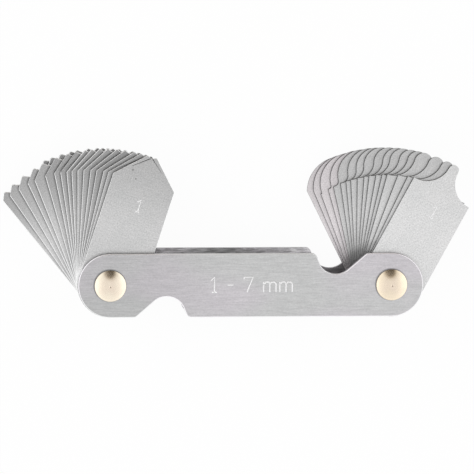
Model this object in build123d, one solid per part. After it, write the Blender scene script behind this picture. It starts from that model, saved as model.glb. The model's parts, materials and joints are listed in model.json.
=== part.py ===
from build123d import *

import math
import os

# Radius gauge: two bundles of thin gauge leaves on two rivets, folding into a case of two plates.
# Millimetres and degrees. The object lies on its back: +X runs along the case from the concave
# bundle's rivet to the convex one's, +Z points out of the marked face, and the origin is on the
# left rivet's axis, in the plane on which the formed rivet heads rest.

# Case
PIVOT_PITCH = 55.3
CASE_WIDTH = 12.5
PLATE_THICKNESS = 1.0
PLATE_EDGE_BREAK = 0.15

# Finger notches, one on each long edge, opening the case beside each bundle
NOTCH_FROM_RIVET = 11.0
NOTCH_DEPTH = 4.1
NOTCH_RADIUS = 3.65
NOTCH_EASY_SLOPE = 41.0
NOTCH_STEEP_SLOPE = 68.0
NOTCH_CORNER_ROUND = 1.05

# Gauge leaves
LEAF_THICKNESS = 0.5
LEAF_GAP = 0.05
LEAF_TAIL_PROUD = 0.18
CONCAVE_REACH = 26.35
CONCAVE_LAND = 0.35
CONCAVE_HALF_ARC = 43.0
CONCAVE_CHAMFER = 45.0
CONVEX_REACH = 26.6
CONVEX_LAND = 0.25

# Rivets
SHANK_RADIUS = 1.8
SHANK_CLEARANCE = 0.05
DOME_RADIUS = 3.05
DOME_RIM = 0.22
DOME_RISE = 0.94
DIMPLE_RADIUS = 0.27
DIMPLE_DEPTH = 0.13
FORMED_RADIUS = 2.85
FORMED_HEIGHT = 0.8
FORMED_BEVEL = 0.35

# One row for each pair of leaves, from the marked face to the back: the gauged radius, and how far
# the concave and the convex leaf are swung clockwise from square to the case.
LEAVES = (
    (1.0, 18.0, 28.5),
    (1.25, 15.5, 25.5),
    (1.5, 13.0, 20.5),
    (1.75, 9.5, 15.0),
    (2.0, 6.5, 12.5),
    (2.25, 3.0, 9.5),
    (2.5, 0.0, 6.0),
    (2.75, -3.0, 3.5),
    (3.0, -5.5, 0.0),
    (3.5, -8.5, -3.5),
    (4.0, -11.5, -6.0),
    (4.5, -16.0, -9.0),
    (5.0, -21.5, -13.0),
    (5.5, -25.0, -16.0),
    (6.0, -30.0, -20.5),
    (6.5, -35.0, -23.5),
    (7.0, -39.0, -26.5),
)

LEAF_WIDTH = CASE_WIDTH
LEAF_PITCH = LEAF_THICKNESS + LEAF_GAP
STACK_HEIGHT = len(LEAVES) * LEAF_PITCH + LEAF_GAP
BACK_PLATE_Z = FORMED_HEIGHT
STACK_Z = BACK_PLATE_Z + PLATE_THICKNESS
FRONT_PLATE_Z = STACK_Z + STACK_HEIGHT
FRONT_FACE_Z = FRONT_PLATE_Z + PLATE_THICKNESS


def notch(pivot_x, turned):
    """The opening cut by one finger notch: a round bottom with one easy and one steep side."""
    edge_y = CASE_WIDTH / 2
    above_y = edge_y + NOTCH_DEPTH
    centre_y = edge_y - NOTCH_DEPTH + NOTCH_RADIUS
    easy = math.radians(NOTCH_EASY_SLOPE)
    steep = math.radians(NOTCH_STEEP_SLOPE)
    easy_x = -NOTCH_FROM_RIVET + NOTCH_RADIUS * math.sin(easy)
    easy_y = centre_y - NOTCH_RADIUS * math.cos(easy)
    steep_x = -NOTCH_FROM_RIVET - NOTCH_RADIUS * math.sin(steep)
    steep_y = centre_y - NOTCH_RADIUS * math.cos(steep)
    easy_mouth_x = easy_x + (edge_y - easy_y) / math.tan(easy)
    steep_mouth_x = steep_x - (edge_y - steep_y) / math.tan(steep)
    bottom = (-NOTCH_FROM_RIVET, edge_y - NOTCH_DEPTH)
    opening = make_face([
        Line((steep_mouth_x, above_y), (steep_mouth_x, edge_y)),
        Line((steep_mouth_x, edge_y), (steep_x, steep_y)),
        ThreePointArc((steep_x, steep_y), bottom, (easy_x, easy_y)),
        Line((easy_x, easy_y), (easy_mouth_x, edge_y)),
        Line((easy_mouth_x, edge_y), (easy_mouth_x, above_y)),
        Line((easy_mouth_x, above_y), (steep_mouth_x, above_y)),
    ])
    return Pos(pivot_x, 0, 0) * Rot(0, 0, turned) * opening


def case_plate(outer_face_up):
    """One case plate, lying with its lower face at z = 0, with the burr broken off its outer edge."""
    blank = Pos(PIVOT_PITCH / 2, 0, 0) * SlotCenterToCenter(PIVOT_PITCH, CASE_WIDTH)
    blank -= notch(PIVOT_PITCH, 0)
    blank -= notch(0, 180)
    mouths = blank.vertices().filter_by(lambda v: is_notch_mouth(v))
    blank = fillet(mouths, NOTCH_CORNER_ROUND)
    for pivot_x in (0, PIVOT_PITCH):
        blank -= Pos(pivot_x, 0, 0) * Circle(SHANK_RADIUS)
    plate = extrude(blank, amount=PLATE_THICKNESS)
    faces = plate.faces().filter_by(Axis.Z).sort_by(Axis.Z)
    outer = faces[-1] if outer_face_up else faces[0]
    return chamfer(outer.outer_wire().edges(), PLATE_EDGE_BREAK)


def is_notch_mouth(vertex):
    """Whether a vertex of the plate's outline is a corner where a notch meets a long edge."""
    on_edge = abs(abs(vertex.Y) - CASE_WIDTH / 2) < 1e-3
    return on_edge and 1e-3 < vertex.X < PIVOT_PITCH - 1e-3


def leaf_sides(shoulder_y):
    """The edges that all leaves share: two straight sides up to the shoulders, and the round tail."""
    half = LEAF_WIDTH / 2
    tail_radius = half + LEAF_TAIL_PROUD
    tail_y = -math.sqrt(tail_radius**2 - half**2)
    return [
        Line((-half, shoulder_y), (-half, tail_y)),
        ThreePointArc((-half, tail_y), (0, -tail_radius), (half, tail_y)),
        Line((half, tail_y), (half, shoulder_y)),
    ]


def concave_outline(radius):
    """A leaf that gauges outside rounds: a hollow arc between two chamfers."""
    half = LEAF_WIDTH / 2
    half_arc = math.radians(CONCAVE_HALF_ARC)
    arc_x = radius * math.sin(half_arc)
    arc_floor_y = CONCAVE_REACH - radius * (1 - math.cos(half_arc))
    tip_x = arc_x + CONCAVE_LAND
    shoulder_y = CONCAVE_REACH - (half - tip_x) / math.tan(math.radians(CONCAVE_CHAMFER))
    return leaf_sides(shoulder_y) + [
        Line((half, shoulder_y), (tip_x, CONCAVE_REACH)),
        Line((tip_x, CONCAVE_REACH), (arc_x, CONCAVE_REACH)),
        ThreePointArc((arc_x, CONCAVE_REACH), (0, arc_floor_y), (-arc_x, CONCAVE_REACH)),
        Line((-arc_x, CONCAVE_REACH), (-tip_x, CONCAVE_REACH)),
        Line((-tip_x, CONCAVE_REACH), (-half, shoulder_y)),
    ]


def convex_outline(radius):
    """A leaf that gauges inside rounds: a round nose that stands out from two square shoulders.

    A hollow arc runs from each side of the nose into its shoulder. Noses wider than the leaf are cut
    off by its straight sides.
    """
    half = LEAF_WIDTH / 2
    foot_x = half - CONVEX_LAND
    nose_y = CONVEX_REACH - radius
    shoulder_y = CONVEX_REACH - foot_x
    relief = foot_x - radius
    if radius > half:
        corner_y = nose_y + math.sqrt(radius**2 - half**2)
        nose = ThreePointArc((half, corner_y), (0, CONVEX_REACH), (-half, corner_y))
        return leaf_sides(corner_y) + [nose]
    if relief < 1e-6:
        meet_x = math.sqrt(radius**2 - relief**2)
        return leaf_sides(shoulder_y) + [
            Line((half, shoulder_y), (meet_x, shoulder_y)),
            ThreePointArc((meet_x, shoulder_y), (0, CONVEX_REACH), (-meet_x, shoulder_y)),
            Line((-meet_x, shoulder_y), (-half, shoulder_y)),
        ]
    relief_x = foot_x - relief * math.cos(math.pi / 4)
    relief_y = nose_y - relief * math.sin(math.pi / 4)
    return leaf_sides(shoulder_y) + [
        Line((half, shoulder_y), (foot_x, shoulder_y)),
        ThreePointArc((foot_x, shoulder_y), (relief_x, relief_y), (radius, nose_y)),
        ThreePointArc((radius, nose_y), (0, CONVEX_REACH), (-radius, nose_y)),
        ThreePointArc((-radius, nose_y), (-relief_x, relief_y), (-foot_x, shoulder_y)),
        Line((-foot_x, shoulder_y), (-half, shoulder_y)),
    ]


def leaf(outline):
    """A flat leaf with its pivot hole at the origin, its length along +Y and its underside at z = 0."""
    blank = make_face(outline) - Circle(SHANK_RADIUS + SHANK_CLEARANCE)
    return extrude(blank, amount=LEAF_THICKNESS)


def rivet():
    """A brass rivet on the Z axis: a domed head on the marked face, and a low one formed on the back."""
    seat_z = FRONT_FACE_Z
    rim_z = seat_z + DOME_RIM
    dome_sphere = (DOME_RADIUS**2 + DOME_RISE**2) / (2 * DOME_RISE)
    dome_centre_z = rim_z + DOME_RISE - dome_sphere
    middle_x = (DOME_RADIUS + DIMPLE_RADIUS) / 2
    middle_z = dome_centre_z + math.sqrt(dome_sphere**2 - middle_x**2)
    dimple_z = dome_centre_z + math.sqrt(dome_sphere**2 - DIMPLE_RADIUS**2)
    foot_x = FORMED_RADIUS - FORMED_BEVEL
    profile = make_face([
        Line((0, 0, 0), (foot_x, 0, 0)),
        Line((foot_x, 0, 0), (FORMED_RADIUS, 0, FORMED_BEVEL)),
        Line((FORMED_RADIUS, 0, FORMED_BEVEL), (FORMED_RADIUS, 0, FORMED_HEIGHT)),
        Line((FORMED_RADIUS, 0, FORMED_HEIGHT), (SHANK_RADIUS, 0, FORMED_HEIGHT)),
        Line((SHANK_RADIUS, 0, FORMED_HEIGHT), (SHANK_RADIUS, 0, seat_z)),
        Line((SHANK_RADIUS, 0, seat_z), (DOME_RADIUS, 0, seat_z)),
        Line((DOME_RADIUS, 0, seat_z), (DOME_RADIUS, 0, rim_z)),
        ThreePointArc((DOME_RADIUS, 0, rim_z), (middle_x, 0, middle_z), (DIMPLE_RADIUS, 0, dimple_z)),
        Line((DIMPLE_RADIUS, 0, dimple_z), (0, 0, dimple_z - DIMPLE_DEPTH)),
        Line((0, 0, dimple_z - DIMPLE_DEPTH), (0, 0, 0)),
    ])
    return revolve(profile, Axis.Z)


def write(shape, name):
    """Writes one piece of the gauge to its own file."""
    export_step(shape, f"parts/{name}.step")


def size_name(radius):
    """A gauged radius as part of a name: 1.25 becomes r1_25."""
    return f"r{radius:.2f}".replace(".", "_")


os.makedirs("parts", exist_ok=True)

write(Pos(0, 0, BACK_PLATE_Z) * case_plate(outer_face_up=False), "back_plate")
write(Pos(0, 0, FRONT_PLATE_Z) * case_plate(outer_face_up=True), "front_plate")
write(rivet(), "left_rivet")
write(Pos(PIVOT_PITCH, 0, 0) * rivet(), "right_rivet")

for place, (radius, concave_lean, convex_lean) in enumerate(LEAVES):
    leaf_z = FRONT_PLATE_Z - (place + 1) * LEAF_PITCH
    concave = Pos(0, 0, leaf_z) * Rot(0, 0, -concave_lean) * leaf(concave_outline(radius))
    convex = Pos(PIVOT_PITCH, 0, leaf_z) * Rot(0, 0, -convex_lean) * leaf(convex_outline(radius))
    write(concave, f"concave_leaf_{size_name(radius)}")
    write(convex, f"convex_leaf_{size_name(radius)}")
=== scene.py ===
import json
import math
import random

import bmesh
import bpy
from mathutils import Matrix, Vector


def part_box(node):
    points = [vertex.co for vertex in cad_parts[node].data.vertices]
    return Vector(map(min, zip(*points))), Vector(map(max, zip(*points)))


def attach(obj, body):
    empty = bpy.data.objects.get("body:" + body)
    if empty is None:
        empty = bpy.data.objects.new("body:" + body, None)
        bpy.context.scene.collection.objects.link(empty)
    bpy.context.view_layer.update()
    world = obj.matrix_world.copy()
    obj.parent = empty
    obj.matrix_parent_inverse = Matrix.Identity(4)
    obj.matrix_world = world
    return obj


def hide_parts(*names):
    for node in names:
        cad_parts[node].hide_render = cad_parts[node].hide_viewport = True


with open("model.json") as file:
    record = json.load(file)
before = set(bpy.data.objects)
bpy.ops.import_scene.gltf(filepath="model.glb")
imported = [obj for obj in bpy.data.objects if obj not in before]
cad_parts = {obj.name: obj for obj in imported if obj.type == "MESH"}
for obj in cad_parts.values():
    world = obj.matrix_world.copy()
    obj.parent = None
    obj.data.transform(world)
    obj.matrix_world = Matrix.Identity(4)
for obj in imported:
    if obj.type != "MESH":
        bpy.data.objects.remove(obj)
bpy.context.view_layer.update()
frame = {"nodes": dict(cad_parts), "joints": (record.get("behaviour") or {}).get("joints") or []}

# The looks of a folding radius gauge: brushed steel case, satin steel leaves with their sizes etched
# on them, and turned brass rivets. Lengths are metres, worked out from millimetres where they are small.
MM = 0.001

# View
PHOTO_SIDE = 474
PIXELS_PER_MM = 5.111
SENSOR_WIDTH = 36.0
VIEW_DISTANCE = 535 * MM
VIEW_SHIFT_X = -2.88 * MM
VIEW_SHIFT_Y = 9.47 * MM
VIEW_TILT_X = math.radians(6.25)
VIEW_TILT_Y = math.radians(5.33)
VIEW_ROLL = math.radians(-0.41)
NEAREST_SEEN = 0.01

# Light: a white tent with one dark gap in it, and two weak softboxes
WHITE = (1, 1, 1, 1)
GAP_DIRECTION = (0.03, 0.80, 0.60)
GAP_STRETCH = (1.25, 1.0, 1.0)
GAP_CORE = 0.26
GAP_RIM = 0.68
GAP_BRIGHTNESS = 0.08
GAP_TINT = (1, 0.80, 0.60, 1)
LOW_CLOTH = 1.12
HIGH_CLOTH = 0.98
SIDE_CLOTH = 1.18
SOFTBOX_WIDTH = 0.45
SOFTBOX_POWER = 0.08
SOFTBOX_AIM = (0.03, 0.01, 0)
LEFT_SOFTBOX_PLACE = (-0.50, -0.05, 0.22)
RIGHT_SOFTBOX_PLACE = (0.55, 0.05, 0.25)

# Floor
FLOOR_HALF_SIDE = 1.5
FLOOR_DROP = 0.02 * MM
FLOOR_COLOUR = (0.9, 0.9, 0.9, 1)
FLOOR_ROUGHNESS = 0.9
FLOOR_GLOW = 0.95

# Case
PLATE_EDGE_ROUND = 0.05 * MM
COOL_STEEL = (0.574, 0.577, 0.578, 1)
WARM_STEEL = (0.604, 0.582, 0.608, 1)
# Painted shadow round the rivet heads: how far its centre is shifted and how wide it reaches
HEAD_SHADE_SHIFT = Vector((-0.10, 0.10, 0)) * MM
HEAD_SHADE_WIDTH = 0.28 * MM

# Rivets
DOME_RADIUS = 3.05 * MM
DOME_RIM = 0.22 * MM
DOME_RISE = 0.94 * MM
DIMPLE_RADIUS = 0.27 * MM
DIMPLE_DEPTH = 0.11 * MM
RIM_ROUND = 0.08 * MM
FORMED_RADIUS = 2.85 * MM
FORMED_HEIGHT = 0.8 * MM
FORMED_ROUND = 0.35 * MM
SHANK_RADIUS = 1.8 * MM
LEFT_BRASS = (0.90, 0.815, 0.67, 1)
RIGHT_BRASS = (0.87, 0.755, 0.585, 1)
ROSY_BRASS = (0.82, 0.695, 0.58, 1)
DOME_RINGS = 24
FORMED_RINGS = 6
LATHE_STEPS = 128
CREASE_ANGLE = math.radians(35)

# Leaves: the front one of each bundle is size 1
FRONT_SIZE = 1
CONCAVE_EDGE_ROUND = 0.16 * MM
CONVEX_EDGE_ROUND = 0.06 * MM
FRONT_CONVEX_EDGE_ROUND = 0.15 * MM
WELD_DISTANCE = 0.001 * MM
EDGE_SEGMENTS = 2
EDGE_ANGLE = math.radians(30)
TIP_STARTS = 18 * MM
PLAIN_STEELS = ((0.540, 0.545, 0.546, 1), (0.556, 0.552, 0.553, 1))
PINKISH_STEELS = ((0.640, 0.616, 0.624, 1), (0.648, 0.614, 0.630, 1))
PINKISH_FROM = 5.5
LIGHTER_FROM = 5
LIGHTER_BY = 1.12
DULLER_LEAVES = {1.75: 0.85, 2: 0.90, 2.25: 0.92, 2.5: 0.97, 3.5: 0.96}
TONE_SPREAD = 0.03

# How a leaf looks: tone near the rivet and what is left of it at the tip, tone of the broken edge (a painted
# highlight above 1, a painted dark line below 1), how dark and how wide the painted shade beside the next leaf
# is and how much of it is left near the rivet, painted shade at the root, direction of the grinding lines,
# steels, and small pits as x, y and radius.
CONCAVE_LOOK = {
    "tone": 1.07, "tip": 0.65, "edge": 1.60, "crevice": 0.34, "reach": 0.60 * MM, "near": 0.22,
    "root_shade": 1.0, "lines": 0.0, "steels": PLAIN_STEELS, "pits": (),
}
CONVEX_LOOK = {
    "tone": 1.24, "tip": 0.80, "edge": 0.50, "crevice": 0.36, "reach": 0.19 * MM, "near": 0.08,
    "root_shade": 0.72, "lines": math.radians(55), "steels": PLAIN_STEELS, "pits": (),
}
# Front leaves: a higher tone, painted light since the leaves behind lie in shade, and stronger painted edge
# highlights
FRONT_CONCAVE_LOOK = {
    "tone": 1.14, "tip": 0.77, "edge": 1.80,
    "pits": (Vector((-2.85, 22.86, 0.28)) * MM, Vector((-1.74, 21.35, 0.22)) * MM),
}
FRONT_CONVEX_LOOK = {"tone": 1.34, "tip": 0.92, "edge": 1.80, "root_shade": 1.0}

# Etched marks, drawn with single strokes on a grid six high
ETCH_HEIGHT = 0.012 * MM
LIGHT_FROST = (0.97, 0.97, 0.97, 1)
DARK_FROST = (0.84, 0.84, 0.85, 1)
LEAF_MARK_HEIGHT = 2.4 * MM
LEAF_MARK_STROKE = 0.27 * MM
LEAF_MARK_PLACE = Vector((0.5, 16.5, 0)) * MM
CASE_MARK_HEIGHT = 2.95 * MM
CASE_MARK_STROKE = 0.27 * MM
CASE_MARK_TEXT = "1 - 7 mm"
CASE_MARK_PLACE = Vector((27.65, 0.15, 0)) * MM
GLYPH_GRID = 6
GLYPH_GAP = 1.5
GLYPHS = {
    " ": (1.2, ()),
    ".": (0.5, (((0.25, 0), (0.25, 0.5)),)),
    "-": (2.4, (((0, 2.9), (2.4, 2.9)),)),
    "1": (2.4, (((0, 4.7), (1.4, 6), (1.4, 0)), ((0.3, 0), (2.4, 0)))),
    "2": (4, (((0, 4.8), (1, 6), (3, 6), (4, 4.8), (4, 3.8), (0, 0), (4, 0)),)),
    "3": (4, (((0, 6), (4, 6), (1.8, 3.5), (3, 3.5), (4, 2.5), (4, 1), (3, 0), (1, 0), (0, 1)),)),
    "4": (4, (((3, 0), (3, 6), (0, 1.8), (4, 1.8)),)),
    "5": (4, (((3.8, 6), (0.4, 6), (0.2, 3.4), (3, 3.4), (4, 2.4), (4, 1), (3, 0), (1, 0), (0, 1)),)),
    "6": (4, (((3.4, 6), (1.6, 5.2), (0, 2.6), (0, 1), (1, 0), (3, 0), (4, 1), (4, 2.4), (3, 3.4),
               (0.4, 3.4)),)),
    "7": (3.6, (((0, 5.2), (0, 6), (3.6, 6), (1.2, 0)),)),
    "m": (5, (((0, 0), (0, 4)), ((0, 3), (1, 4), (2, 4), (2.5, 3.3), (2.5, 0)),
              ((2.5, 3.3), (3.3, 4), (4.3, 4), (5, 3.3), (5, 0)))),
}

# Noise seldom leaves this range
NOISE_LOW = 0.3
NOISE_HIGH = 0.7


def add(tree, kind, **settings):
    """A new node in a tree, with its settings."""
    node = tree.nodes.new(kind)
    for name, value in settings.items():
        setattr(node, name, value)
    return node


def feed(tree, socket, value):
    """Gives a socket a number or a colour of its own, or links it to another node."""
    if isinstance(value, (int, float, tuple)):
        socket.default_value = value
    else:
        tree.links.new(value, socket)


def blank_finish(name):
    """A new material with its tree and its shader."""
    material = bpy.data.materials.new(name)
    material.use_nodes = True
    tree = material.node_tree
    return material, tree, tree.nodes["Principled BSDF"]


def placed(tree, at=(0, 0, 0), turn=0.0, scale=(1, 1, 1)):
    """A piece's own coordinates seen from a place on it, turned about Z and then scaled."""
    where = add(tree, "ShaderNodeTexCoord")
    local = add(tree, "ShaderNodeMapping", vector_type="TEXTURE")
    local.inputs["Location"].default_value = at
    local.inputs["Rotation"].default_value = (0, 0, turn)
    stretch = add(tree, "ShaderNodeMapping", vector_type="POINT")
    stretch.inputs["Scale"].default_value = scale
    tree.links.new(where.outputs["Object"], local.inputs["Vector"])
    tree.links.new(local.outputs["Vector"], stretch.inputs["Vector"])
    return stretch.outputs["Vector"]


def coordinate(tree, vector, axis):
    """One coordinate of a vector."""
    parts = add(tree, "ShaderNodeSeparateXYZ")
    tree.links.new(vector, parts.inputs["Vector"])
    return parts.outputs[axis]


def vector_sum(tree, operation, first, second):
    """A vector and a fixed one in one sum or product."""
    node = add(tree, "ShaderNodeVectorMath", operation=operation)
    tree.links.new(first, node.inputs[0])
    node.inputs[1].default_value = second
    return node.outputs["Vector"]


def length_of(tree, vector):
    """The length of a vector."""
    node = add(tree, "ShaderNodeVectorMath", operation="LENGTH")
    tree.links.new(vector, node.inputs[0])
    return node.outputs["Value"]


def far_from(tree, vector, place):
    """The distance from a place, measured along the face."""
    away = vector_sum(tree, "SUBTRACT", vector, place)
    return length_of(tree, vector_sum(tree, "MULTIPLY", away, (1, 1, 0)))


def speckle(tree, vector, scale=1.0, detail=2.0, roughness=0.5):
    """Noise between 0 and 1."""
    noise = add(tree, "ShaderNodeTexNoise")
    noise.inputs["Scale"].default_value = scale
    noise.inputs["Detail"].default_value = detail
    noise.inputs["Roughness"].default_value = roughness
    tree.links.new(vector, noise.inputs["Vector"])
    return noise.outputs["Fac"]


def ranged(tree, value, low, high, to_low, to_high, smooth=False):
    """A value taken from one range to another, and kept inside it."""
    span = add(tree, "ShaderNodeMapRange", clamp=True)
    span.interpolation_type = "SMOOTHSTEP" if smooth else "LINEAR"
    tree.links.new(value, span.inputs["Value"])
    for name, number in (("From Min", low), ("From Max", high), ("To Min", to_low), ("To Max", to_high)):
        span.inputs[name].default_value = number
    return span.outputs["Result"]


def spread(tree, noise, to_low, to_high):
    """Noise spread over a range."""
    return ranged(tree, noise, NOISE_LOW, NOISE_HIGH, to_low, to_high)


def combined(tree, operation, first, second):
    """Two values, or a value and a number, in one sum or product."""
    node = add(tree, "ShaderNodeMath", operation=operation)
    feed(tree, node.inputs[0], first)
    feed(tree, node.inputs[1], second)
    return node.outputs["Value"]


def product(tree, first, *others):
    """The product of several values."""
    result = first
    for value in others:
        result = combined(tree, "MULTIPLY", result, value)
    return result


def between(tree, share, first, second, kind="FLOAT"):
    """A value between two values or numbers, or with kind RGBA a colour between two colours."""
    mix = add(tree, "ShaderNodeMix", data_type=kind)
    tree.links.new(share, mix.inputs["Factor"])
    feed(tree, mix.inputs["A"], first)
    feed(tree, mix.inputs["B"], second)
    return mix.outputs["Result"]


def blended(tree, share, first, second):
    """A colour between two colours."""
    return between(tree, share, first, second, kind="RGBA")


def toned(tree, colour, factor):
    """A colour made lighter or darker by a value round 1."""
    scale = add(tree, "ShaderNodeVectorMath", operation="SCALE")
    tree.links.new(colour, scale.inputs["Vector"])
    tree.links.new(factor, scale.inputs["Scale"])
    return scale.outputs["Vector"]


def painted_light_by_slope(tree, flat, edge, wall):
    """Painted light by facing: one value on flat faces, one on broken edges, a painted highlight when above 1
    and a painted dark line when below, and one on upright walls, painted shade.
    """
    facing = add(tree, "ShaderNodeNewGeometry")
    upward = combined(tree, "ABSOLUTE", coordinate(tree, facing.outputs["True Normal"], "Z"), 0.0)
    leaning = between(tree, ranged(tree, upward, 0.10, 0.25, 0, 1), wall, edge)
    return between(tree, ranged(tree, upward, 0.955, 0.985, 0, 1), leaning, flat)


def painted_crevice_shade(tree, reach, low, high, darkest):
    """Painted shade: darker where something near hides the sky, beside a step or in a slot."""
    painted_shade = add(tree, "ShaderNodeAmbientOcclusion", samples=12)
    painted_shade.inputs["Distance"].default_value = reach
    return ranged(tree, painted_shade.outputs["AO"], low, high, darkest, 1.0)


def roughened(tree, shader, height, depth, strength):
    """Gives a shader fine relief from a height."""
    bump = add(tree, "ShaderNodeBump")
    bump.inputs["Strength"].default_value = strength
    bump.inputs["Distance"].default_value = depth
    tree.links.new(height, bump.inputs["Height"])
    tree.links.new(bump.outputs["Normal"], shader.inputs["Normal"])


def streaks_and_painted_light_inside(tree, place, along):
    """Streaky mottling on the inside of the back plate, with painted light and shade: lighter to the right and
    dark at the right notch.
    """
    height = coordinate(tree, place, "Z")
    above_outside = ranged(tree, height, 1.5 * MM, 1.75 * MM, 0, 1)
    below_front_plate = ranged(tree, height, 2 * MM, 9 * MM, 1, 0)
    streaks = speckle(tree, placed(tree, scale=(500, 3200, 3200)))
    streaks_and_light = product(
        tree,
        ranged(tree, streaks, 0.36, 0.64, 0.70, 1.30),
        # Painted light and shade: lighter up to 10 mm along, lighter again from 24 mm to 37 mm where light
        # comes in at the notch, darker at the right notch
        ranged(tree, along, 10 * MM, 20 * MM, 1.7, 0.74),
        ranged(tree, along, 24 * MM, 37 * MM, 1.0, 1.8),
        ranged(tree, along, 40.5 * MM, 42.5 * MM, 1.0, 0.5),
    )
    return between(tree, product(tree, above_outside, below_front_plate), 1.0, streaks_and_light)


def brushed_case_steel(heads):
    """Case plates: steel brushed along their length, with painted shade inside and a painted shadow round the
    rivet heads.
    """
    material, tree, steel = blank_finish("brushed_case_steel")
    place = placed(tree)
    along = coordinate(tree, place, "X")
    brushing = speckle(tree, placed(tree, scale=(420, 5200, 5200)))
    grain = speckle(tree, placed(tree, scale=(3600, 5200, 5200)))
    patches = speckle(tree, placed(tree, scale=(38, 85, 85)), detail=1.0)
    colour = blended(tree, ranged(tree, patches, 0.38, 0.62, 0, 1, smooth=True), COOL_STEEL, WARM_STEEL)
    # Painted shade deep inside the case from the occlusion node, and painted light and shade on the inner face
    # of the back plate
    shade = product(
        tree,
        spread(tree, brushing, 0.90, 1.08),
        spread(tree, grain, 0.92, 1.07),
        ranged(tree, along, 4 * MM, 26 * MM, 0.89, 1.0, smooth=True),
        painted_crevice_shade(tree, 12 * MM, 0.18, 0.62, 0.11),
        streaks_and_painted_light_inside(tree, place, along),
    )
    # Painted shadow on the plate round each rivet head, reaching out further to the upper left
    for head in heads:
        ring = far_from(tree, place, head + HEAD_SHADE_SHIFT)
        shade = product(tree, shade, ranged(tree, ring, DOME_RADIUS, DOME_RADIUS + HEAD_SHADE_WIDTH, 0.45, 1.0))
    # Painted highlight on the broken edges and painted shade on the upright walls
    tree.links.new(toned(tree, colour, painted_light_by_slope(tree, shade, 1.45, 0.55)), steel.inputs["Base Color"])
    tree.links.new(spread(tree, brushing, 0.34, 0.46), steel.inputs["Roughness"])
    steel.inputs["Metallic"].default_value = 1.0
    roughened(tree, steel, brushing, 0.002 * MM, 0.5)
    return material


def satin_leaf_steel(name, pivot, lean, look):
    """One leaf: fine satin grain, faint grinding lines, a tone of its own, painted shade beside the next leaf
    and at the root, and painted light and shade on its broken edges.
    """
    material, tree, steel = blank_finish(name)
    place = placed(tree, pivot, lean)
    along = coordinate(tree, place, "Y")
    grain = speckle(tree, placed(tree, pivot, lean, (3900, 3900, 3900)), detail=3.0, roughness=0.6)
    lines = speckle(tree, placed(tree, pivot, lean + look["lines"], (450, 3900, 3900)))
    clouds = speckle(tree, placed(tree, pivot, lean, (260, 260, 900)))
    shade = product(
        tree,
        ranged(tree, along, 11 * MM, 26.5 * MM, look["tone"], look["tone"] * look["tip"], smooth=True),
        spread(tree, grain, 0.80, 1.18),
        spread(tree, lines, 0.96, 1.04),
        spread(tree, clouds, 0.98, 1.02),
    )
    for x, y, radius in look["pits"]:
        distance = far_from(tree, place, (x, y, 0))
        shade = product(tree, shade, ranged(tree, distance, radius * 0.3, radius, 0.5, 1.0))
    # Painted shade beside the next leaf, weaker near the rivet, and painted shade at the root where the case
    # shades it
    painted_shade = painted_crevice_shade(tree, look["reach"], 0.50, 0.93, look["crevice"])
    painted_shade_share = ranged(tree, along, 4 * MM, 20 * MM, look["near"], 1.0)
    shade = product(
        tree,
        shade,
        between(tree, painted_shade_share, 1.0, painted_shade),
        ranged(tree, along, 5.5 * MM, 8 * MM, look["root_shade"], 1.0, smooth=True),
    )
    colour = blended(tree, clouds, *look["steels"])
    # Broken edges take the look's edge tone, a painted highlight above 1 and a painted dark line below; upright
    # walls take painted shade
    tree.links.new(toned(tree, colour, painted_light_by_slope(tree, shade, look["edge"], 0.3)), steel.inputs["Base Color"])
    tree.links.new(spread(tree, grain, 0.36, 0.50), steel.inputs["Roughness"])
    steel.inputs["Metallic"].default_value = 1.0
    roughened(tree, steel, grain, 0.002 * MM, 0.5)
    return material


def turned_brass(name, centre, pale):
    """Rivets: pale polished brass, rosier in the middle, with fine turning rings, and painted shade in the
    dimple and on the rim's side.
    """
    material, tree, brass = blank_finish(name)
    radius = far_from(tree, placed(tree), centre)
    ring_place = add(tree, "ShaderNodeCombineXYZ")
    tree.links.new(radius, ring_place.inputs["X"])
    rings = speckle(tree, ring_place.outputs["Vector"], scale=6500)
    tarnish = speckle(tree, placed(tree, centre, scale=(900, 900, 900)), detail=3.0)
    rosiness = combined(
        tree, "ADD", ranged(tree, radius, 0.4 * MM, 2.7 * MM, 0.75, 0.1), spread(tree, tarnish, -0.2, 0.2))
    # Painted shade in the dimple at the centre and on the upright side of the rim
    shade = product(
        tree,
        spread(tree, rings, 0.93, 1.04),
        ranged(tree, radius, 0.12 * MM, 0.30 * MM, 0.80, 1.0),
        painted_light_by_slope(tree, 1.0, 1.0, 0.35),
    )
    tree.links.new(toned(tree, blended(tree, rosiness, pale, ROSY_BRASS), shade), brass.inputs["Base Color"])
    tree.links.new(spread(tree, tarnish, 0.18, 0.30), brass.inputs["Roughness"])
    brass.inputs["Metallic"].default_value = 1.0
    roughened(tree, brass, rings, 0.002 * MM, 0.4)
    return material


def frosted_etching():
    """Etched marks: frosted steel, paler than what is round them."""
    material, tree, steel = blank_finish("frosted_etching")
    frost = speckle(tree, placed(tree, scale=(6000, 6000, 6000)))
    colour = blended(tree, spread(tree, frost, 0, 1), LIGHT_FROST, DARK_FROST)
    tree.links.new(colour, steel.inputs["Base Color"])
    steel.inputs["Metallic"].default_value = 0.6
    steel.inputs["Roughness"].default_value = 0.65
    roughened(tree, steel, frost, 0.003 * MM, 0.6)
    return material


def dress(node, material):
    """Gives a node one material all over."""
    node.data.materials.clear()
    node.data.materials.append(material)


def soften_edges(node, width):
    """Takes the sharp edge off a steel sheet piece."""
    weld = node.modifiers.new("joined", "WELD")
    weld.merge_threshold = WELD_DISTANCE
    bevel = node.modifiers.new("softened", "BEVEL")
    bevel.width = width
    bevel.segments = EDGE_SEGMENTS
    bevel.limit_method = "ANGLE"
    bevel.angle_limit = EDGE_ANGLE


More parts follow.
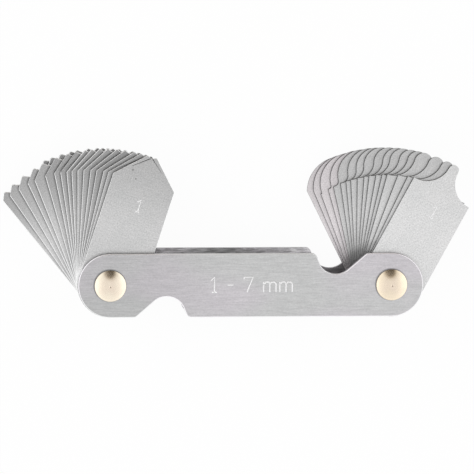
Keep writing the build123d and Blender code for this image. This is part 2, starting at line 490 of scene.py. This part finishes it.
def mesh_piece(mesh, name, material, body):
    """A finished piece from a mesh: it rides on its body and takes its finish from a slot."""
    mesh.materials.clear()
    mesh.materials.append(material)
    piece = bpy.data.objects.new(name, mesh)
    bpy.context.scene.collection.objects.link(piece)
    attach(piece, body)
    return piece


def arc_points(centre, radius, start, end, steps):
    """Points on an arc in the XZ plane, its angles measured from +X towards +Z."""
    points = []
    for step in range(steps + 1):
        angle = start + (end - start) * step / steps
        points.append(centre + Vector((math.cos(angle), 0, math.sin(angle))) * radius)
    return points


def rivet_profile(low, high):
    """Half a rivet's outline, from the middle of the dimple down to the middle of the formed head."""
    top = high.z
    seat = top - DOME_RISE - DOME_RIM
    sphere = (DOME_RADIUS**2 + DOME_RISE**2) / (2 * DOME_RISE)
    centre = Vector((0, 0, top - sphere))
    rim_angle = math.acos(DOME_RADIUS / sphere)
    dimple_angle = math.acos(DIMPLE_RADIUS / sphere)
    dimple_top = centre.z + sphere * math.sin(dimple_angle)
    points = [Vector((0, 0, dimple_top - DIMPLE_DEPTH))]
    points.append(Vector((DIMPLE_RADIUS * 0.5, 0, dimple_top - DIMPLE_DEPTH * 0.8)))
    points += arc_points(centre, sphere, dimple_angle, rim_angle, DOME_RINGS)
    points.append(Vector((DOME_RADIUS, 0, seat + DOME_RIM - RIM_ROUND)))
    points.append(Vector((DOME_RADIUS, 0, seat + RIM_ROUND)))
    points.append(Vector((DOME_RADIUS - RIM_ROUND, 0, seat)))
    points.append(Vector((SHANK_RADIUS, 0, seat)))
    points.append(Vector((SHANK_RADIUS, 0, low.z + FORMED_HEIGHT)))
    points.append(Vector((FORMED_RADIUS, 0, low.z + FORMED_HEIGHT)))
    corner = Vector((FORMED_RADIUS - FORMED_ROUND, 0, low.z + FORMED_ROUND))
    points += arc_points(corner, FORMED_ROUND, 0, -math.pi / 2, FORMED_RINGS)
    points.append(Vector((0, 0, low.z)))
    return points


def rivet_axis(node_name):
    """Where a rivet's axis meets the floor."""
    low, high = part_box(node_name)
    return Vector(((low.x + high.x) / 2, (low.y + high.y) / 2, 0))


def turned_rivet(node_name, material):
    """A rivet turned on the lathe, in place of its plain solid."""
    lathe = bmesh.new()
    points = [lathe.verts.new(point) for point in rivet_profile(*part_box(node_name))]
    edges = [lathe.edges.new(pair) for pair in zip(points, points[1:])]
    bmesh.ops.spin(lathe, geom=points + edges, cent=(0, 0, 0), axis=(0, 0, 1), dvec=(0, 0, 0),
                   angle=2 * math.pi, steps=LATHE_STEPS, use_merge=True)
    bmesh.ops.remove_doubles(lathe, verts=lathe.verts, dist=WELD_DISTANCE)
    bmesh.ops.recalc_face_normals(lathe, faces=lathe.faces)
    bmesh.ops.translate(lathe, verts=lathe.verts, vec=rivet_axis(node_name))
    for face in lathe.faces:
        face.smooth = True
    for edge in lathe.edges:
        if len(edge.link_faces) == 2 and edge.calc_face_angle() > CREASE_ANGLE:
            edge.smooth = False
    name = node_name.replace("rivet", "turned_rivet")
    mesh = bpy.data.meshes.new(name)
    lathe.to_mesh(mesh)
    lathe.free()
    rivet = mesh_piece(mesh, name, material, "case")
    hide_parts(node_name)


def glyph_strokes(text):
    """The strokes of a line of text on the glyph grid, centred on the origin."""
    strokes = []
    pen = 0.0
    for letter in text:
        width, paths = GLYPHS[letter]
        strokes += [[(pen + x, y) for x, y in path] for path in paths]
        pen += width + GLYPH_GAP
    middle = (pen - GLYPH_GAP) / 2
    return [[(x - middle, y - GLYPH_GRID / 2) for x, y in stroke] for stroke in strokes]


def etched_mark(name, text, height, stroke, place, turn, top, material, body):
    """Plain single-stroke figures standing a hair proud of a face, reading along a turned line."""
    figures = bpy.data.curves.new(name, "CURVE")
    figures.dimensions = "3D"
    figures.bevel_depth = stroke / 2
    figures.bevel_resolution = 1
    figures.use_fill_caps = True
    unit = height / GLYPH_GRID
    for path in glyph_strokes(text):
        line = figures.splines.new("POLY")
        line.points.add(len(path) - 1)
        for point, (x, y) in zip(line.points, path):
            point.co = (x * unit, y * unit, 0, 1)
    holder = bpy.data.objects.new(name, figures)
    bpy.context.scene.collection.objects.link(holder)
    bpy.context.view_layer.update()
    mesh = bpy.data.meshes.new_from_object(holder.evaluated_get(bpy.context.evaluated_depsgraph_get()))
    bpy.data.objects.remove(holder)
    flatten = Matrix.Diagonal((1, 1, ETCH_HEIGHT / (stroke / 2), 1))
    on_face = Matrix.Translation((place.x, place.y, top))
    mesh.transform(on_face @ Matrix.Rotation(turn, 4, "Z") @ flatten)
    mesh.name = name
    mesh_piece(mesh, name, material, body)


def leaf_turn(node, pivot):
    """How far a leaf is turned from square to the case, found from where its tip lies."""
    tip = Vector((0, 0, 0))
    for vertex in node.data.vertices:
        arm = Vector((vertex.co.x - pivot.x, vertex.co.y - pivot.y, 0))
        if arm.length > TIP_STARTS:
            tip += arm
    return math.atan2(-tip.x, tip.y)


def leaf_look(size, concave, chance):
    """How one leaf looks: its bundle's look with a tone of its own, and the front leaf's differences."""
    look = dict(CONCAVE_LOOK if concave else CONVEX_LOOK)
    look["tone"] *= chance.uniform(1 - TONE_SPREAD, 1 + TONE_SPREAD)
    if concave:
        look["tone"] *= DULLER_LEAVES.get(size, 1.0)
        if size >= LIGHTER_FROM:
            look["tone"] *= LIGHTER_BY
    elif size >= PINKISH_FROM:
        look["steels"] = PINKISH_STEELS
    if size == FRONT_SIZE:
        look.update(FRONT_CONCAVE_LOOK if concave else FRONT_CONVEX_LOOK)
    return look


def edge_round(size, concave):
    """How far a leaf's edges are broken: the concave ones more than the convex ones."""
    if concave:
        return CONCAVE_EDGE_ROUND
    return FRONT_CONVEX_EDGE_ROUND if size == FRONT_SIZE else CONVEX_EDGE_ROUND


def dress_leaves(etching):
    """Every leaf gets its own steel, a broken edge and its size etched below its tip."""
    chance = random.Random(17)
    for joint in frame["joints"]:
        leaf_name = joint["child"]
        leaf = frame["nodes"][leaf_name]
        pivot = Vector(joint["pos_m"])
        low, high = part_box(leaf_name)
        turn = leaf_turn(leaf, pivot)
        concave = leaf_name.startswith("concave")
        size = float(leaf_name.rsplit("_r", 1)[1].replace("_", "."))
        look = leaf_look(size, concave, chance)
        dress(leaf, satin_leaf_steel(f"{leaf_name}_steel", pivot, turn, look))
        soften_edges(leaf, edge_round(size, concave))
        place = pivot + Matrix.Rotation(turn, 4, "Z") @ LEAF_MARK_PLACE
        etched_mark(f"{leaf_name}_mark", f"{size:g}", LEAF_MARK_HEIGHT, LEAF_MARK_STROKE, place,
                    turn, high.z, etching, leaf_name)


def dress_case(etching):
    """Plates, rivets and the range etched on the front plate."""
    left_head = rivet_axis("left_rivet")
    right_head = rivet_axis("right_rivet")
    steel = brushed_case_steel((left_head, right_head))
    for name in ("front_plate", "back_plate"):
        dress(frame["nodes"][name], steel)
        soften_edges(frame["nodes"][name], PLATE_EDGE_ROUND)
    turned_rivet("left_rivet", turned_brass("left_rivet_brass", left_head, LEFT_BRASS))
    turned_rivet("right_rivet", turned_brass("right_rivet_brass", right_head, RIGHT_BRASS))
    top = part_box("front_plate")[1].z
    etched_mark("case_mark", CASE_MARK_TEXT, CASE_MARK_HEIGHT, CASE_MARK_STROKE, CASE_MARK_PLACE,
                0, top, etching, "case")


def seen_directly(tree, share):
    """A share for rays from the camera or off a shiny or clear surface, and nothing for others."""
    path = add(tree, "ShaderNodeLightPath")
    shiny = combined(tree, "MAXIMUM", path.outputs["Is Glossy Ray"], path.outputs["Is Transmission Ray"])
    direct = combined(tree, "MAXIMUM", path.outputs["Is Camera Ray"], shiny)
    return product(tree, direct, share)


def lay_floor():
    """A white floor that still keeps the gauge's faint shadow."""
    slab = bmesh.new()
    bmesh.ops.create_grid(slab, x_segments=1, y_segments=1, size=FLOOR_HALF_SIDE)
    bmesh.ops.translate(slab, verts=slab.verts, vec=(0, 0, -FLOOR_DROP))
    mesh = bpy.data.meshes.new("floor")
    slab.to_mesh(mesh)
    slab.free()
    floor = bpy.data.objects.new("floor", mesh)
    bpy.context.scene.collection.objects.link(floor)
    material, tree, paper = blank_finish("white_paper")
    paper.inputs["Base Color"].default_value = FLOOR_COLOUR
    paper.inputs["Roughness"].default_value = FLOOR_ROUGHNESS
    glow = add(tree, "ShaderNodeEmission")
    mix = add(tree, "ShaderNodeMixShader")
    tree.links.new(seen_directly(tree, FLOOR_GLOW), mix.inputs["Fac"])
    tree.links.new(paper.outputs["BSDF"], mix.inputs[1])
    tree.links.new(glow.outputs["Emission"], mix.inputs[2])
    tree.links.new(mix.outputs["Shader"], tree.nodes["Material Output"].inputs["Surface"])
    mesh.materials.append(material)


def light_tent():
    """A white tent, brighter low down, with one soft dark gap behind the gauge that the rivets pick up."""
    world = bpy.data.worlds.new("tent")
    bpy.context.scene.world = world
    world.use_nodes = True
    tree = world.node_tree
    sky = tree.nodes["Background"]
    direction = add(tree, "ShaderNodeTexCoord").outputs["Generated"]
    away = vector_sum(tree, "SUBTRACT", direction, GAP_DIRECTION)
    distance = length_of(tree, vector_sum(tree, "MULTIPLY", away, GAP_STRETCH))
    sideways = combined(tree, "ABSOLUTE", coordinate(tree, direction, "X"), 0.0)
    cloth = product(
        tree,
        ranged(tree, distance, GAP_CORE, GAP_RIM, GAP_BRIGHTNESS, 1.0, smooth=True),
        ranged(tree, coordinate(tree, direction, "Z"), 0.25, 0.85, LOW_CLOTH, HIGH_CLOTH, smooth=True),
        ranged(tree, sideways, 0.25, 0.85, 1.0, SIDE_CLOTH, smooth=True),
    )
    path = add(tree, "ShaderNodeLightPath")
    brightness = combined(tree, "MAXIMUM", cloth, path.outputs["Is Camera Ray"])
    tree.links.new(brightness, sky.inputs["Strength"])
    tint = blended(tree, ranged(tree, distance, GAP_CORE, GAP_RIM, 0, 1, smooth=True), GAP_TINT, WHITE)
    tree.links.new(tint, sky.inputs["Color"])


def softbox(name, place):
    """A square softbox aimed at the gauge."""
    lamp = bpy.data.lights.new(name, "AREA")
    lamp.shape = "SQUARE"
    lamp.size = SOFTBOX_WIDTH
    lamp.energy = SOFTBOX_POWER
    holder = bpy.data.objects.new(name, lamp)
    holder.location = place
    holder.rotation_euler = (Vector(SOFTBOX_AIM) - Vector(place)).to_track_quat("-Z", "Y").to_euler()
    bpy.context.scene.collection.objects.link(holder)


def set_camera():
    """The camera looks down on the front plate, a little from above and from the left."""
    low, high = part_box("front_plate")
    aim = Vector(((low.x + high.x) / 2, (low.y + high.y) / 2, high.z))
    camera = bpy.data.cameras.new("view")
    camera.sensor_width = SENSOR_WIDTH
    camera.lens = SENSOR_WIDTH * PIXELS_PER_MM * VIEW_DISTANCE / MM / PHOTO_SIDE
    camera.clip_start = NEAREST_SEEN
    holder = bpy.data.objects.new("view", camera)
    holder.rotation_mode = "ZXY"
    holder.rotation_euler = (-VIEW_TILT_X, -VIEW_TILT_Y, -VIEW_ROLL)
    shift = Vector((VIEW_SHIFT_X, VIEW_SHIFT_Y, VIEW_DISTANCE))
    holder.location = aim + holder.rotation_euler.to_matrix() @ shift
    bpy.context.scene.collection.objects.link(holder)
    bpy.context.scene.camera = holder


bpy.context.scene.view_settings.view_transform = "Standard"
set_camera()
light_tent()
lay_floor()
softbox("left_softbox", LEFT_SOFTBOX_PLACE)
softbox("right_softbox", RIGHT_SOFTBOX_PLACE)
etching = frosted_etching()
dress_leaves(etching)
dress_case(etching)
